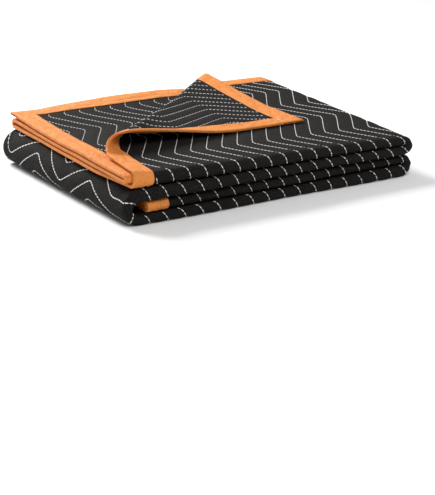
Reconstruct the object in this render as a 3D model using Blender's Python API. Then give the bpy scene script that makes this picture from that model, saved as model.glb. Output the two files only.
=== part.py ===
"""A quilted moving pad, folded for storage, with one corner of its top layer turned back.

The flat cloth is measured by s, along its long way from the end that lies on top, and by t, along its
short way from the edge that is turned back. A small w is the height above the cloth's middle. Each piece
is made flat in s, t and w and is then folded: first in quarters along t, which gives four layers, then
that bundle in four panels along s, and last the corner is rolled over.
"""

import math

import bmesh
import bpy
from mathutils import Matrix, Vector

# Folded size, in metres
PAD_WIDTH = 0.516
PAD_DEPTH = 0.457
LAYER_STEP = 0.0047
PANEL_GAP = 0.0008
# Height of the folded pad over its four corners, as a share of the even stack
LIFT = {"front_left": 1.06, "front_right": 0.88, "back_left": 1.12, "back_right": 1.11}
# How far the middle panels are pressed down (-) or up (+) at the left and the right end
SETTLE_LEFT = -0.065
SETTLE_RIGHT = 0.045
SETTLE_RIGHT_LOW = 0.020
# How far the left bulge stands out past the top panel's end, at the front and more at the back
BULGE_OUT = 0.008
BULGE_OUT_BACK = 0.014
BULGE_OUT_REACH = 0.220
# The slow wave along every panel's front
WAVE = 0.0016
WAVE_LENGTH = 0.31
# How far the inner layers' front bend lies behind the outer one, and how far the two bound long edges
# stand out of the fold, and how far the bound end inside the bulge lies in it
NESTED_BACK = 0.0025
TURNED_EDGE_OUT = 0.010
UNDER_EDGE_OUT = 0.005
INNER_END_IN = 0.013

# The cloth: thick between two rows of stitches, thin on a row, thinner under the tape
CLOTH = 0.0032
CLOTH_BOUND = 0.0020
QUILT_RELIEF = 0.0005
QUILT_STEP = 0.0287
# The zig-zag of the rows: its length, its reach to either side, where its first full turn lies along t,
# and how much longer it gets past the front fold
ZIGZAG_LENGTH = 0.1867
ZIGZAG_REACH = 0.0269
ZIGZAG_START = 0.1083
ZIGZAG_STRETCH = 0.067
SWAY_FADE = 0.055

# The tape folded over all four edges
TAPE = 0.0008
TAPE_REACH = 0.034
TAPE_GAP = 0.0004
BOUND = 0.036
SWELL = 0.010

# The turned corner, seen from above: two points on the outside of its roll
ROLL_LEFT = (0.028, 0.125)
ROLL_BACK = (0.388, 0.475)
ROLL_RADIUS = 0.012
ROLL_DIP = 0.13
ROLL_EASE = 0.060
ROLL_SQUASH = 0.40
ROLL_SQUASH_BACK = 0.20
FLAP_STEP = 0.0054
# How far the top layer is pulled in at its front, and at its corner inwards and backwards
PULL_FRONT = 0.0125
PULL_IN = 0.040
PULL_BACK = 0.037
PULL_FADE = 0.12

# How the top panel's layers spread upwards at its free end, and behind the turned corner, where the
# layers under the top one spread only near the back
FAN_LEFT = 0.35
FAN_LEFT_REACH = 0.060
FAN_BACK = 0.70
FAN_BACK_REACH = 0.48
FAN_UNDER = 0.35
FAN_UNDER_START = 0.30
FAN_UNDER_DEPTH = 0.16
# The curl of the under layers' back edge beside the turned corner
CURL = 0.88
CURL_START = 0.37
CURL_DEPTH = 0.095
CURL_LEFT = 0.21
CURL_RIGHT = 0.40
CURL_FADE = 0.14

# Places that follow from the sizes above
BUNDLE = 4 * LAYER_STEP
PANEL_STEP = BUNDLE + PANEL_GAP
OUTER = 1.5 * LAYER_STEP
INNER = 0.5 * LAYER_STEP
BOTTOM_Z = OUTER + CLOTH / 2
TOP_Z = BOTTOM_Z + 3 * PANEL_STEP
STACK = TOP_Z + OUTER + CLOTH / 2
BULGE_X = PANEL_STEP + OUTER + CLOTH / 2
RIGHT_X = PAD_WIDTH - PANEL_STEP / 2 - OUTER - CLOTH / 2
INNER_END_X = BULGE_X + INNER_END_IN
FRONT_Y = OUTER + CLOTH / 2
NESTED_Y = FRONT_Y + NESTED_BACK
BACK_Y = PAD_DEPTH - INNER - CLOTH / 2
TURNED_EDGE_Y = PAD_DEPTH + TURNED_EDGE_OUT
UNDER_EDGE_Y = PAD_DEPTH + UNDER_EDGE_OUT
TOP_RUN = RIGHT_X
PANEL_RUN = RIGHT_X - BULGE_X
INNER_RUN = RIGHT_X - INNER_END_X
TURNED_RUN = TURNED_EDGE_Y - FRONT_Y
UNDER_RUN = UNDER_EDGE_Y - NESTED_Y

# The way through the folds: name, length, turn to the left, cuts along it, if it is quilted, and across
# the width also how far back the bundle lies at its end
WIDTH_WAY = [
    ("top_bound_end", BOUND, 0.0, 1, False, 0.0),
    ("top_swell", SWELL, 0.0, 1, False, 0.0),
    ("top_panel", TOP_RUN - BOUND - SWELL, 0.0, 2 * round((TOP_RUN - BOUND) / QUILT_STEP), True, 0.0),
    ("upper_right_bend", math.pi * PANEL_STEP / 2, -math.pi, 5, False, -0.0025),
    ("second_panel", PANEL_RUN, 0.0, 6, True, -0.0025),
    ("left_bulge", math.pi * PANEL_STEP, math.pi, 7, False, 0.0005),
    ("bottom_panel", PANEL_RUN, 0.0, 6, True, 0.0005),
    ("lower_right_bend", math.pi * PANEL_STEP / 2, math.pi, 5, False, 0.0035),
    ("third_panel", INNER_RUN - BOUND - SWELL, 0.0, 6, True, 0.0035),
    ("inner_swell", SWELL, 0.0, 1, False, 0.0035),
    ("inner_bound_end", BOUND, 0.0, 1, False, 0.0035),
]
DEPTH_WAY = [
    ("turned_bound_edge", BOUND, 0.0, 1, False),
    ("turned_swell", SWELL, 0.0, 1, False),
    ("turned_layer", TURNED_RUN - BOUND - SWELL, 0.0, 0, True),
    ("outer_front_bend", math.pi * OUTER, math.pi, 5, False),
    ("outer_layer", BACK_Y - FRONT_Y, 0.0, 0, True),
    ("back_bend", math.pi * INNER, math.pi, 3, False),
    ("inner_layer", BACK_Y - NESTED_Y, 0.0, 0, True),
    ("inner_front_bend", math.pi * INNER, -math.pi, 3, False),
    ("under_layer", UNDER_RUN - BOUND - SWELL, 0.0, 0, True),
    ("under_swell", SWELL, 0.0, 1, False),
    ("under_bound_edge", BOUND, 0.0, 1, False),
]
CLOTH_LENGTH = sum(step[1] for step in WIDTH_WAY)
CLOTH_WIDTH = sum(step[1] for step in DEPTH_WAY)

# The roll of the turned corner, as a way seen from its end
ROLL_TURN = math.pi + ROLL_DIP
ROLL_FALL = ROLL_RADIUS * (1 + math.cos(ROLL_DIP)) - ROLL_EASE * (1 - math.cos(ROLL_DIP)) - FLAP_STEP
ROLL_WAY = [
    ("roll", ROLL_RADIUS * ROLL_TURN, ROLL_TURN, 6, False),
    ("slope", ROLL_FALL / math.sin(ROLL_DIP), 0.0, 1, False),
    ("landing", ROLL_EASE * ROLL_DIP, -ROLL_DIP, 1, False),
    ("flap", PAD_DEPTH, 0.0, 1, False),
]
ROLL_LENGTH = math.dist(ROLL_LEFT, ROLL_BACK)
ROLL_COS = (ROLL_BACK[0] - ROLL_LEFT[0]) / ROLL_LENGTH
ROLL_SIN = (ROLL_BACK[1] - ROLL_LEFT[1]) / ROLL_LENGTH


def clear_scene():
    """Removes what a new file holds."""
    for item in list(bpy.data.objects):
        bpy.data.objects.remove(item, do_unlink=True)


def finish_of(name, colour, roughness):
    """A plain material of one colour."""
    material = bpy.data.materials.new(name)
    material.use_nodes = True
    shader = material.node_tree.nodes["Principled BSDF"]
    shader.inputs["Base Color"].default_value = (*colour, 1.0)
    shader.inputs["Roughness"].default_value = roughness
    shader.inputs["Metallic"].default_value = 0.0
    return material


def smooth(share):
    """Goes from 0 to 1 with a soft start and end."""
    share = min(1.0, max(0.0, share))
    return share * share * (3 - 2 * share)


def walk(way, start, heading, distance):
    """The point at a distance along a way, and the unit vector to its left."""
    x, y = start
    for name, length, turn, *_ in way:
        part = distance if name == way[-1][0] else min(distance, length)
        if turn:
            radius = length / turn
            ahead = heading + part / radius
            x += radius * (math.sin(ahead) - math.sin(heading))
            y -= radius * (math.cos(ahead) - math.cos(heading))
            heading = ahead
        else:
            x += part * math.cos(heading)
            y += part * math.sin(heading)
        distance -= part
        if distance <= 0:
            break
    return (x, y), (-math.sin(heading), math.cos(heading))


def end_of(way, name):
    """The distance along a way at which its named step ends."""
    total = 0.0
    for step, length, *_ in way:
        total += length
        if step == name:
            return total
    raise KeyError(name)


def pulled(s, t):
    """Draws the top layer in at its end and out towards its corner, still flat."""
    front = end_of(DEPTH_WAY, "turned_layer")
    along = max(0.0, 1 - s / TOP_RUN)
    back = max(0.0, 1 - t / front)
    drawn = 1 - min(1.0, max(0.0, t - front) / PULL_FADE)
    return s + along * (PULL_FRONT * drawn + PULL_IN * back), t - along * back * PULL_BACK


def roll_distance(x, y):
    """How far a point of the top layer is past the line where its roll starts."""
    return (y - ROLL_LEFT[1]) * ROLL_COS - (x - ROLL_LEFT[0]) * ROLL_SIN + ROLL_RADIUS


def rolled(x, y, above):
    """Takes a point of the top layer, some way above its middle, over with the turned corner."""
    past = roll_distance(x, y)
    if past <= 0:
        return x, y, above
    along = (x - ROLL_LEFT[0]) * ROLL_COS + (y - ROLL_LEFT[1]) * ROLL_SIN
    (out, up), (out_side, up_side) = walk(ROLL_WAY, (-ROLL_RADIUS, 0.0), 0.0, past)
    share = min(1.0, max(0.0, along / ROLL_LENGTH))
    squash = ROLL_SQUASH * math.sin(math.pi * share) ** 2 + ROLL_SQUASH_BACK * share
    up -= squash * max(0.0, up - FLAP_STEP)
    out += above * out_side
    x = ROLL_LEFT[0] + along * ROLL_COS - out * ROLL_SIN
    y = ROLL_LEFT[1] + along * ROLL_SIN + out * ROLL_COS
    return x, y, up + above * up_side


def fan(x, y, on_top):
    """How much further apart the top panel's layers lie at a place seen from above."""
    left = FAN_LEFT * smooth(1 - x / FAN_LEFT_REACH)
    reach = smooth(1 - x / FAN_BACK_REACH)
    if on_top:
        return left + FAN_BACK * smooth(y / PAD_DEPTH) * reach
    curl = CURL * max(0.0, (y - CURL_START) / CURL_DEPTH) ** 2
    curl *= smooth(x / CURL_LEFT) * smooth((CURL_RIGHT - x) / CURL_FADE)
    return left + FAN_UNDER * smooth((y - FAN_UNDER_START) / FAN_UNDER_DEPTH) * reach + curl


def lifted(x, y, z):
    """The height that a point of the even stack has in the uneven one."""
    right = min(1.0, max(0.0, x / PAD_WIDTH))
    back = min(1.0, max(0.0, y / PAD_DEPTH))
    front_row = LIFT["front_left"] * (1 - right) + LIFT["front_right"] * right
    back_row = LIFT["back_left"] * (1 - right) + LIFT["back_right"] * right
    share = min(1.0, max(0.0, z / STACK))
    even = SETTLE_LEFT * (1 - right) + SETTLE_RIGHT * right
    shift = even * math.sin(math.pi * share) + SETTLE_RIGHT_LOW * right * math.sin(2 * math.pi * share)
    return (z + STACK * shift) * (front_row * (1 - back) + back_row * back)


def panel_back(s):
    """How far back the bundle lies at s."""
    start = before = 0.0
    for _, length, _, _, _, back in WIDTH_WAY:
        if s < start + length:
            break
        start += length
        before = back
    share = smooth((s - start) / length)
    return before + (back - before) * share + WAVE * math.sin(2 * math.pi * s / WAVE_LENGTH)


def folded(s, t, w):
    """The place in the folded pad of a point of the flat, pulled cloth."""
    (y, middle), (y_side, level_side) = walk(DEPTH_WAY, (TURNED_EDGE_Y, OUTER), math.pi, t)
    y += w * y_side
    level = middle + w * level_side
    (x, z), (x_side, z_side) = walk(WIDTH_WAY, (0.0, TOP_Z), 0.0, s)
    if s < TOP_RUN:
        above = level - OUTER
        on_top = t < end_of(DEPTH_WAY, "turned_layer")
        if on_top:
            x, y, above = rolled(x, y, above)
        z += OUTER + above + fan(x, y, on_top) * (middle + OUTER)
    else:
        x += level * x_side
        z += level * z_side
        out = BULGE_OUT + BULGE_OUT_BACK * max(0.0, y / PAD_DEPTH)
        x -= out * smooth(1 - x / BULGE_OUT_REACH)
    return x, y + panel_back(s), lifted(x, y, z)


def swayed_columns():
    """The cloth's lines across s: place, share of the zig-zag's sway, and crest or trough."""
    columns = [(0.0, 0.0, 0.0)]
    start = 0.0
    for _, length, _, cuts, quilted, _ in WIDTH_WAY:
        for cut in range(1, cuts + 1):
            near_end = length * min(cut, cuts - cut) / cuts
            sway = min(1.0, near_end / SWAY_FADE) if quilted else 0.0
            crest = (1.0 if cut % 2 else -1.0) if quilted and cut < cuts else 0.0
            columns.append((start + length * cut / cuts, sway, crest))
        start += length
    return columns


def rows():
    """The cloth's lines across t: place, and 1 where the quilting is at full strength."""
    lines = [(0.0, 0.0)]
    start = 0.0
    clear = ZIGZAG_LENGTH / 8
    for _, length, _, cuts, quilted in DEPTH_WAY:
        end = start + length
        if quilted:
            lines += [(place, 1.0) for place in zigzag_turns() if start + clear < place < end - clear]
        for cut in range(1, max(cuts, 1) + 1):
            lines.append((start + length * cut / max(cuts, 1), 0.0))
        start = end
    return lines


def zigzag_turns():
    """Where along t the zig-zag turns."""
    front = end_of(DEPTH_WAY, "outer_front_bend")
    places = []
    turn = ZIGZAG_START
    while turn < CLOTH_WIDTH:
        past = max(0.0, turn - front)
        places.append(turn - past + past / (1 - ZIGZAG_STRETCH))
        turn += ZIGZAG_LENGTH / 2
    return places


def zigzag(t):
    """How far the rows of stitches lie to the side at t."""
    stretched = ZIGZAG_STRETCH * max(0.0, t - end_of(DEPTH_WAY, "outer_front_bend"))
    turn = (t - stretched - ZIGZAG_START) / ZIGZAG_LENGTH
    return ZIGZAG_REACH * (1 - 4 * abs(turn - math.floor(turn + 0.5)))


def half_cloth(s, t, crest, side):
    """Half the cloth's thickness at a point, on the one or the other side."""
    bound = min(s, CLOTH_LENGTH - s, t, CLOTH_WIDTH - t) < BOUND + SWELL / 2
    if bound:
        return CLOTH_BOUND / 2
    rests = end_of(WIDTH_WAY, "left_bulge") <= s <= end_of(WIDTH_WAY, "bottom_panel")
    under = end_of(DEPTH_WAY, "outer_front_bend") <= t <= end_of(DEPTH_WAY, "outer_layer")
    if rests and under and side < 0:
        return CLOTH / 2
    return CLOTH / 2 + (crest - 1) / 2 * QUILT_RELIEF


def grid(across, along):
    """A mesh of unit squares, its points at whole numbers."""
    mesh = bmesh.new()
    bmesh.ops.create_grid(mesh, x_segments=across, y_segments=along, size=0.5)
    for vert in mesh.verts:
        vert.co = (round((vert.co.x + 0.5) * across), round((vert.co.y + 0.5) * along), 0.0)
    return mesh


def cut_for_roll(mesh):
    """Cuts flat, pulled work along the lines in which the turned corner bends."""
    past = 0.0
    lines = [past]
    for _, length, _, cuts, _ in ROLL_WAY[:-1]:
        lines += [past + length * cut / cuts for cut in range(1, cuts + 1)]
        past += length
    for line in lines:
        geometry = mesh.verts[:] + mesh.edges[:] + mesh.faces[:]
        across = (line - ROLL_RADIUS) * ROLL_COS + ROLL_LEFT[1]
        through = (ROLL_LEFT[0] - (line - ROLL_RADIUS) * ROLL_SIN, TURNED_EDGE_Y - across, 0.0)
        bmesh.ops.bisect_plane(
            mesh, geom=geometry, dist=1e-6, plane_co=through, plane_no=(ROLL_SIN, ROLL_COS, 0.0)
        )


def fold_and_keep(mesh, name, material):
    """Cuts, pulls and folds flat work, and keeps it as a named object."""
    for vert in mesh.verts:
        s, t = pulled(vert.co.x, vert.co.y)
        vert.co = (s, t, vert.co.z)
    cut_for_roll(mesh)
    bmesh.ops.triangulate(mesh, faces=mesh.faces[:])
    for vert in mesh.verts:
        x, y, z = folded(*vert.co)
        vert.co = (x, y, z)
    bmesh.ops.recalc_face_normals(mesh, faces=mesh.faces[:])
    if mesh.calc_volume(signed=True) < 0:
        bmesh.ops.reverse_faces(mesh, faces=mesh.faces[:])
    data = bpy.data.meshes.new(name)
    mesh.to_mesh(data)
    mesh.free()
    data.materials.append(material)
    piece = bpy.data.objects.new(name, data)
    bpy.context.scene.collection.objects.link(piece)
    return piece


def make_cloth(material):
    """The quilted cloth: one closed sheet, thick between its rows of stitches."""
    columns = swayed_columns()
    lines = rows()
    mesh = grid(len(columns) - 1, len(lines) - 1)
    bmesh.ops.solidify(mesh, geom=mesh.faces[:], thickness=1.0)
    upper = max(vert.co.z for vert in mesh.verts)
    for vert in mesh.verts:
        place, sway, crest = columns[round(vert.co.x)]
        t, strength = lines[round(vert.co.y)]
        s = place + sway * strength * zigzag(t)
        side = 1.0 if vert.co.z > upper - 0.5 else -1.0
        vert.co = (s, t, side * half_cloth(place, t, crest, side))
    return fold_and_keep(mesh, "quilted_pad", material)


def tape_section():
    """The tape's cross-section: distance in from the cloth's edge, and height over its middle."""
    inside = CLOTH_BOUND / 2 + TAPE_GAP
    outside = inside + TAPE
    edge = -TAPE_GAP
    return [
        (TAPE_REACH, outside),
        (edge - TAPE, outside),
        (edge - TAPE, -outside),
        (TAPE_REACH, -outside),
        (TAPE_REACH, -inside),
        (edge, -inside),
        (edge, inside),
        (TAPE_REACH, inside),
        (TAPE_REACH, outside),
    ]


def make_tape(name, stations, place, material):
    """Tape folded over an edge, along the stations that the cloth has there."""
    section = tape_section()
    mesh = grid(len(section) - 1, len(stations) - 1)
    for vert in mesh.verts:
        inwards, height = section[round(vert.co.x)]
        vert.co = (*place(inwards, stations[round(vert.co.y)]), height)
    bmesh.ops.remove_doubles(mesh, verts=mesh.verts[:], dist=1e-6)
    open_edges = [edge for edge in mesh.edges if edge.is_boundary]
    bmesh.ops.holes_fill(mesh, edges=open_edges, sides=0)
    return fold_and_keep(mesh, name, material)


def centre_all():
    """Moves all pieces so that the middle of their box's underside is at the origin."""
    pieces = list(bpy.context.scene.collection.objects)
    points = [vert.co for piece in pieces for vert in piece.data.vertices]
    lowest = Vector([min(point[axis] for point in points) for axis in range(3)])
    highest = Vector([max(point[axis] for point in points) for axis in range(3)])
    middle = (lowest + highest) / 2
    for piece in pieces:
        piece.data.transform(Matrix.Translation((-middle.x, -middle.y, -lowest.z)))


def build():
    """Makes the cloth and the four tapes."""
    clear_scene()
    quilted = finish_of("black_quilted_cloth", (0.026, 0.024, 0.024), 0.9)
    orange = finish_of("orange_woven_tape", (0.80, 0.27, 0.07), 0.75)
    make_cloth(quilted)
    butt = TAPE_REACH + TAPE_GAP
    past_end = TAPE + TAPE_GAP
    down = [t for t, _ in rows() if butt < t < CLOTH_WIDTH - butt]
    down = [butt, *down, CLOTH_WIDTH - butt]
    across = [place for place, _, _ in swayed_columns()]
    across = [-past_end, *across[1:-1], CLOTH_LENGTH + past_end]
    make_tape("binding_top_end", down, lambda inwards, t: (inwards, t), orange)
    make_tape("binding_inner_end", down, lambda inwards, t: (CLOTH_LENGTH - inwards, t), orange)
    make_tape("binding_turned_side", across, lambda inwards, s: (s, inwards), orange)
    make_tape("binding_under_side", across, lambda inwards, s: (s, CLOTH_WIDTH - inwards), orange)
    centre_all()


build()
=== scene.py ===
"""The looks of a quilted moving pad, folded, with one corner of its top layer turned back.

The flat cloth is measured by s, along its long way from the end that lies on top, and by t, along its
short way from the edge that is turned back. A small w is the height above the cloth's middle. The cloth,
the tape over its edges and every stitch are made flat in s, t and w and are then folded as one: in
quarters along t, in four panels along s, and last the corner is rolled over.
"""

import math

import bmesh
import bpy
from mathutils import Matrix, Vector, noise


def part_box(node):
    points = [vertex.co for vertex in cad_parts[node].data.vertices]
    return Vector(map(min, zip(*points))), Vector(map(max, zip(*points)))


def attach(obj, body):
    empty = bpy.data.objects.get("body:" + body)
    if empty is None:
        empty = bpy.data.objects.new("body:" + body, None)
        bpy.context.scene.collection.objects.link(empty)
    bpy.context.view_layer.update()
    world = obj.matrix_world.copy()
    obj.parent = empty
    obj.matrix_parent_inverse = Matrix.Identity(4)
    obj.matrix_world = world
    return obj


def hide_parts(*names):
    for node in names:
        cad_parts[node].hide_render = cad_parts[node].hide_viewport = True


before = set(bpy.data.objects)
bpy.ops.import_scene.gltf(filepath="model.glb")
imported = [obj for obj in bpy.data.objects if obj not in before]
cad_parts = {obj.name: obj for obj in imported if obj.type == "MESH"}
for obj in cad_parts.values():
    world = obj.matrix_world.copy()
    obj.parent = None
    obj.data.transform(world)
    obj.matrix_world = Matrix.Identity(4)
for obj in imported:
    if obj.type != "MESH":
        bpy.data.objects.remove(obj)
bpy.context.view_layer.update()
# The soft lumps of the folds are the same each time
noise.seed_set(5)

# The camera, in the frame's metres and degrees
CAMERA_AT = (-1.1440, -2.1638, 0.6767)
CAMERA_AZIMUTH = -28.4342
CAMERA_ELEVATION = 18.5
CAMERA_ROLL = -1.6125
CAMERA_LENS = 124.14
CAMERA_SENSOR = 36.0

# Folded size, in metres
PAD_WIDTH = 0.516
PAD_DEPTH = 0.457
LAYER_STEP = 0.0047
PANEL_GAP = 0.0008
# Height of the folded pad over its four corners, as a share of the even stack
LIFT = {"front_left": 1.06, "front_right": 0.88, "back_left": 1.12, "back_right": 1.11}
# How far the middle panels are pressed down (-) or up (+) at the left and the right end
SETTLE_LEFT = -0.065
SETTLE_RIGHT = 0.045
SETTLE_RIGHT_LOW = 0.020
# How far the left bulge stands out past the top panel's end, at the front and more at the back
BULGE_OUT = 0.008
BULGE_OUT_BACK = 0.014
BULGE_OUT_REACH = 0.220
# The slow wave along every panel's front
WAVE = 0.0016
WAVE_LENGTH = 0.31
# How far the inner layers' front bend lies behind the outer one, and how far the two bound long edges
# stand out of the fold, and how far the bound end inside the bulge lies in it
NESTED_BACK = 0.0025
TURNED_EDGE_OUT = 0.010
UNDER_EDGE_OUT = 0.005
INNER_END_IN = 0.013

# The cloth's thickness, and the one it is pressed to under the tape
CLOTH = 0.0032
CLOTH_BOUND = 0.0020
# How far it puffs out between its rows of stitches, how deep they lie in it, and how narrow they are
PUFF_OUT = 0.0003
ROW_DEEP = 0.0011
ROW_WIDE = 0.75
# The small lumps of its faces: how high, how many to a metre, and how far apart in the noise the two faces
# are taken from
FACE_LUMP = 0.00025
FACE_LUMPS = 38
FACES_APART = 3.0

# The sewn rows: how far apart, and where the first one lies
QUILT_STEP = 0.0287
ROW_START = 0.0183
# The zig-zag of the rows: its length, its reach to either side, where its first full turn lies along t,
# how much longer it gets past the front fold, and how sharp its turns are
ZIGZAG_LENGTH = 0.1867
ZIGZAG_REACH = 0.0275
ZIGZAG_START = 0.1083
ZIGZAG_STRETCH = 0.067
ZIGZAG_SHARP = 0.985
# How much further back its turns lie on the outer layer, and over which length that fades
ZIGZAG_BACK = 0.014
ZIGZAG_FADE = 0.10
# The length over which rows beside a front bend go over to their own layer's length in the bulge
ROW_FADE = 0.045
# The length at both ends over which the mesh's lines go over to the rows
ROW_END_FADE = 0.07
# How far past the cloth's end rows begin, because their zig-zag comes back onto it
ROWS_PAST = 0.1
# More than the whole turn of the width's way, in radians, and the steps in which a row's place is found
MOST_TURN = 7
ROW_SEARCHES = 9

# The tape folded over all four edges: its thickness, its reach on each face, and its gap to the cloth
TAPE = 0.0008
TAPE_REACH = 0.034
TAPE_GAP = 0.0004
# How flat the long tapes are pressed where they close past the cloth's end, as a share
TAPE_END = 0.35
# The form of the tape's face: how far it swells, and then a row for each line of its mesh, with the
# distance from its inner edge and if it swells out there (1) or is drawn in (-1)
TAPE_SWELL = 0.00035
TAPE_FORM = [
    (0.0, -1),
    (0.0008, 0),
    (0.0060, 1),
    (0.0100, 0),
    (0.0115, -1),
    (0.0130, 0),
    (0.0180, 1),
    (0.0270, 0),
]
# Where the tape's face goes over to its round nose, the nose's steps, and the points of its inner wall, as
# shares of its reach
NOSE_START = 0.0012
NOSE_STEPS = 6
INNER_WALL = (1.0, 0.75, 0.5, 0.25)
# The puckers of the sewn tape: how high and how deep, how many to a metre of each kind, and the wide ones'
# share; and how far and how often its inner edge wanders
PUCKER = 0.0007
PUCKER_SUNK = 0.0002
PUCKERS_CLOSE = 70
PUCKERS_WIDE = 24
PUCKER_WIDE_SHARE = 0.6
EDGE_WANDER = 0.0011
EDGE_WANDERS = 45
# The length of the tape's mesh along it, on the straight and in a bend, and the shortest one
TAPE_LONG = 0.006
TAPE_LONG_BEND = 0.0024
TAPE_SHORTEST = 0.0005

# How far in the cloth counts as bound, the length over which it swells up past that, and how far that
# starts under the tape
BOUND = 0.036
SWELL = 0.010
SWELL_UNDER = 0.002

# The turned corner, seen from above: two points on the outside of its roll
ROLL_LEFT = (0.028, 0.125)
ROLL_BACK = (0.388, 0.475)
# The roll's radius, the slope at which the cloth comes down from it, the radius with which that slope ends,
# how far the roll is pressed down in its middle and at the back, as shares, and the height of the landed
# cloth over the layer that it came from
ROLL_RADIUS = 0.012
ROLL_DIP = 0.13
ROLL_EASE = 0.060
ROLL_SQUASH = 0.40
ROLL_SQUASH_BACK = 0.20
FLAP_STEP = 0.0054
# The arch of the turned corner's front edge, the hollow behind it and how far back that is deepest, and
# where along t the arch starts and ends
ARCH = 0.0080
ARCH_HOLLOW = 0.0075
ARCH_REACH = 0.045
ARCH_FROM = 0.09
ARCH_TO = 0.45
# How far the top layer is pulled in at its front, and at its corner inwards and backwards, and the length
# past the front bend over which that fades
PULL_FRONT = 0.0125
PULL_IN = 0.040
PULL_BACK = 0.037
PULL_FADE = 0.12

# How the top panel's layers spread upwards at its free end, and behind the turned corner, where the
# layers under the top one spread only near the back: shares of their step, and the lengths of each spread
FAN_LEFT = 0.35
FAN_LEFT_REACH = 0.060
FAN_BACK = 0.70
FAN_BACK_REACH = 0.48
FAN_UNDER = 0.35
FAN_UNDER_START = 0.30
FAN_UNDER_DEPTH = 0.16
# The curl of the under layers' back edge beside the turned corner: as a share of their step, where it
# starts in the depth and how deep it is, how far from the left it is whole and ends, and how it fades
CURL = 0.88
CURL_START = 0.37
CURL_DEPTH = 0.095
CURL_LEFT = 0.21
CURL_RIGHT = 0.40
CURL_FADE = 0.14

# The soft lumps of cloth that was folded by hand: how high, and how long each way
LUMP = 0.0016
LUMP_LONG = 0.075
LUMP_DEEP = 0.090
LUMP_TALL = 0.022

# Places that follow from the sizes above
BUNDLE = 4 * LAYER_STEP
PANEL_STEP = BUNDLE + PANEL_GAP
OUTER = 1.5 * LAYER_STEP
INNER = 0.5 * LAYER_STEP
BOTTOM_Z = OUTER + CLOTH / 2
TOP_Z = BOTTOM_Z + 3 * PANEL_STEP
STACK = TOP_Z + OUTER + CLOTH / 2
BULGE_X = PANEL_STEP + OUTER + CLOTH / 2
RIGHT_X = PAD_WIDTH - PANEL_STEP / 2 - OUTER - CLOTH / 2
INNER_END_X = BULGE_X + INNER_END_IN
FRONT_Y = OUTER + CLOTH / 2
NESTED_Y = FRONT_Y + NESTED_BACK
BACK_Y = PAD_DEPTH - INNER - CLOTH / 2
TURNED_EDGE_Y = PAD_DEPTH + TURNED_EDGE_OUT
UNDER_EDGE_Y = PAD_DEPTH + UNDER_EDGE_OUT
TOP_RUN = RIGHT_X
PANEL_RUN = RIGHT_X - BULGE_X
INNER_RUN = RIGHT_X - INNER_END_X
TURNED_RUN = TURNED_EDGE_Y - FRONT_Y
UNDER_RUN = UNDER_EDGE_Y - NESTED_Y

# The way through the folds: name, length, turn to the left, and the size of the mesh's squares along it;
# across the width also how far back the bundle lies at its end
HALF_ROW = QUILT_STEP / 2
WIDTH_WAY = [
    ("top_panel", TOP_RUN, 0.0, HALF_ROW, 0.0),
    ("upper_right_bend", math.pi * PANEL_STEP / 2, -math.pi, HALF_ROW / 2, -0.0025),
    ("second_panel", PANEL_RUN, 0.0, HALF_ROW, -0.0025),
    ("left_bulge", math.pi * PANEL_STEP, math.pi, HALF_ROW / 2, 0.0005),
    ("bottom_panel", PANEL_RUN, 0.0, HALF_ROW, 0.0005),
    ("lower_right_bend", math.pi * PANEL_STEP / 2, math.pi, HALF_ROW / 2, 0.0035),
    ("third_panel", INNER_RUN, 0.0, HALF_ROW, 0.0035),
]
DEPTH_WAY = [
    ("turned_layer", TURNED_RUN, 0.0, 0.0155),
    ("outer_front_bend", math.pi * OUTER, math.pi, 0.0028),
    ("outer_layer", BACK_Y - FRONT_Y, 0.0, 0.031),
    ("back_bend", math.pi * INNER, math.pi, 0.0019),
    ("inner_layer", BACK_Y - NESTED_Y, 0.0, 0.031),
    ("inner_front_bend", math.pi * INNER, -math.pi, 0.0019),
    ("under_layer", UNDER_RUN, 0.0, 0.0155),
]
CLOTH_LENGTH = sum(step[1] for step in WIDTH_WAY)
CLOTH_WIDTH = sum(step[1] for step in DEPTH_WAY)

# The roll of the turned corner, as a way seen from its end
ROLL_TURN = math.pi + ROLL_DIP
ROLL_FALL = ROLL_RADIUS * (1 + math.cos(ROLL_DIP)) - ROLL_EASE * (1 - math.cos(ROLL_DIP)) - FLAP_STEP
ROLL_WAY = [
    ("roll", ROLL_RADIUS * ROLL_TURN, ROLL_TURN, 10),
    ("slope", ROLL_FALL / math.sin(ROLL_DIP), 0.0, 1),
    ("landing", ROLL_EASE * ROLL_DIP, -ROLL_DIP, 1),
    ("flap", PAD_DEPTH, 0.0, 1),
]
ROLL_LENGTH = math.dist(ROLL_LEFT, ROLL_BACK)
ROLL_COS = (ROLL_BACK[0] - ROLL_LEFT[0]) / ROLL_LENGTH
ROLL_SIN = (ROLL_BACK[1] - ROLL_LEFT[1]) / ROLL_LENGTH

# Sewing: the thread's width, a stitch's length and the distance from one stitch to the next
THREAD = 0.0015
STITCH = 0.0059
STITCH_STEP = 0.0065
# How uneven the stitches are in length and in direction, as shares, how many times a metre that changes,
# and how far the start of a row may be off
STITCH_UNEVEN = 0.12
STITCH_ASKEW = 0.06
UNEVEN_TIMES = 900
ROW_UNEVEN = 0.004
# The distance over which a row's slope is taken
SLOPE_OVER = 0.002
# On the inner face the thread shows less: the stitch's length and thickness there, as shares
INNER_STITCH = 0.74
INNER_THREAD = 0.95
# How far a stitch's middle lies over the cloth, and how far inside where the pad lies on the floor
THREAD_OVER = 0.0003
THREAD_SUNK = 0.0007
# How many stitches are made at once
STITCHES_AT_ONCE = 25
# How far the thread is made past what shows: beside the bends at both ends, under the front bend, from
# the front bend on the floor, past the back bend, beside the inner front bend, and on the layer under the
# turned corner, from its front and from the right
BESIDE_BEND = 0.030
UNDER_FRONT = 0.012
FLOOR_FRONT = 0.020
PAST_BACK = 0.008
BESIDE_INNER = 0.010
UNDER_CORNER_FRONT = 0.060
UNDER_CORNER_RIGHT = 0.120
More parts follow.
